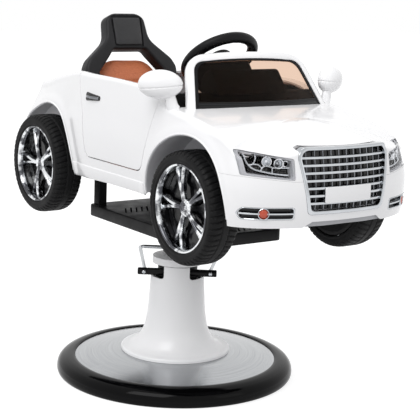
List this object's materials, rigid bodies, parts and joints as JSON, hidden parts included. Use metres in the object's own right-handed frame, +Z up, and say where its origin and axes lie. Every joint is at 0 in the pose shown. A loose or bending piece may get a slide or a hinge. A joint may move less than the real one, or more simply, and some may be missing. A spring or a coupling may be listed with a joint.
{
  "type": "children's salon chair",
  "caption": "Children's salon chair: a ride-on car body with a seat, doors and wheels, on a hydraulic pedestal with a step board and a round base.",
  "frame": {"origin": "on the floor, on the axis of the pedestal's column", "axes": "+Z up, the car's front faces -Y, its right-hand side is -X"},
  "size_m": [0.6, 1.1007, 0.89],
  "materials": {
    "rubber_black": "matte",
    "tyre_black": "matte",
    "brushed_dome": "brushed",
    "machined_steel": "machined",
    "white_plastic": "gloss",
    "white_paint": "gloss",
    "black_plastic": "satin",
    "chrome": "polished",
    "liner_grey": "matte",
    "smoked_pane": "gloss",
    "tan_leather": "soft",
    "lamp_clear": "gloss",
    "amber_lens": "gloss",
    "red_lens": "gloss"
  },
  "bodies": {
    "base": {"base_ring": "rubber_black", "base_plate": "machined_steel", "base_dome": "brushed_dome", "pump_foot": "machined_steel", "pump_cylinder": "machined_steel", "pump_head": "black_plastic", "column_cover": "white_plastic", "collar_cover": "white_plastic"},
    "ram": {"ram": "chrome"},
    "pump_lever": {"pedal_shaft": "black_plastic", "pedal_hoop": "chrome", "hoop_screw_right": "chrome", "hoop_screw_left": "chrome"},
    "car": {"headrest_pad": "rubber_black", "swivel_plate": "machined_steel", "front_axle": "machined_steel", "rear_axle": "machined_steel", "step_platform": "black_plastic", "dashboard": "black_plastic", "steering_column": "black_plastic", "seat_pan": "black_plastic", "headrest_frame": "black_plastic", "post_front_right": "black_plastic", "post_front_left": "black_plastic", "post_rear_right": "black_plastic", "post_rear_left": "black_plastic", "number_plate": "white_plastic", "grille_surround": "chrome", "grille": "chrome", "fog_trim_right": "chrome", "fog_trim_left": "chrome", "body_shell": "white_paint", "front_bumper": "white_paint", "rear_bumper": "white_paint", "windscreen_frame": "white_paint", "mirror_right": "white_paint", "mirror_left": "white_paint", "chassis_tub": "liner_grey", "windscreen": "smoked_pane", "seat_base": "tan_leather", "seat_back": "tan_leather", "headlamp_right": "lamp_clear", "headlamp_left": "lamp_clear", "fog_lamp_right": "amber_lens", "fog_lamp_left": "amber_lens", "tail_lamp_right": "red_lens", "tail_lamp_left": "red_lens"},
    "steering": {"steering_wheel": "black_plastic"},
    "door_right": {"door_right": "white_paint", "door_handle_right": "black_plastic"},
    "door_left": {"door_left": "white_paint", "door_handle_left": "black_plastic"},
    "wheel_front_right": {"tyre_front_right": "tyre_black", "rim_front_right": "chrome"},
    "wheel_front_left": {"tyre_front_left": "tyre_black", "rim_front_left": "chrome"},
    "wheel_rear_right": {"tyre_rear_right": "tyre_black", "rim_rear_right": "chrome"},
    "wheel_rear_left": {"tyre_rear_left": "tyre_black", "rim_rear_left": "chrome"}
  },
  "joints": [
    {"name": "column_lift", "type": "slide", "parent": "base", "child": "ram", "axis": [0, 0, 1], "range_m": [0, 0.12]},
    {"name": "lever_hinge", "type": "hinge", "parent": "base", "child": "pump_lever", "pos_m": [-0.01881, -0.02589, 0.263], "axis": [0.809, -0.5878, 0], "range_deg": [-22, 0], "stiffness_Nm_per_rad": 10, "springref_deg": 11.46},
    {"name": "turntable", "type": "hinge", "parent": "ram", "child": "car", "pos_m": [0, 0, 0.36], "axis": [0, 0, 1], "continuous": true},
    {"name": "steering_turn", "type": "hinge", "parent": "car", "child": "steering", "pos_m": [0, -0.146, 0.805], "axis": [0, 0.6428, 0.766], "range_deg": [-60, 60]},
    {"name": "door_right_hinge", "type": "hinge", "parent": "car", "child": "door_right", "pos_m": [-0.241, -0.244, 0.65], "axis": [0, 0, 1], "range_deg": [0, 50]},
    {"name": "door_left_hinge", "type": "hinge", "parent": "car", "child": "door_left", "pos_m": [0.241, -0.244, 0.65], "axis": [0, 0, 1], "range_deg": [-50, 0]},
    {"name": "wheel_front_right_spin", "type": "hinge", "parent": "car", "child": "wheel_front_right", "pos_m": [-0.213, -0.364, 0.504], "axis": [1, 0, 0], "continuous": true},
    {"name": "wheel_front_left_spin", "type": "hinge", "parent": "car", "child": "wheel_front_left", "pos_m": [0.213, -0.364, 0.504], "axis": [1, 0, 0], "continuous": true},
    {"name": "wheel_rear_right_spin", "type": "hinge", "parent": "car", "child": "wheel_rear_right", "pos_m": [-0.213, 0.302, 0.504], "axis": [1, 0, 0], "continuous": true},
    {"name": "wheel_rear_left_spin", "type": "hinge", "parent": "car", "child": "wheel_rear_left", "pos_m": [0.213, 0.302, 0.504], "axis": [1, 0, 0], "continuous": true}
  ]
}
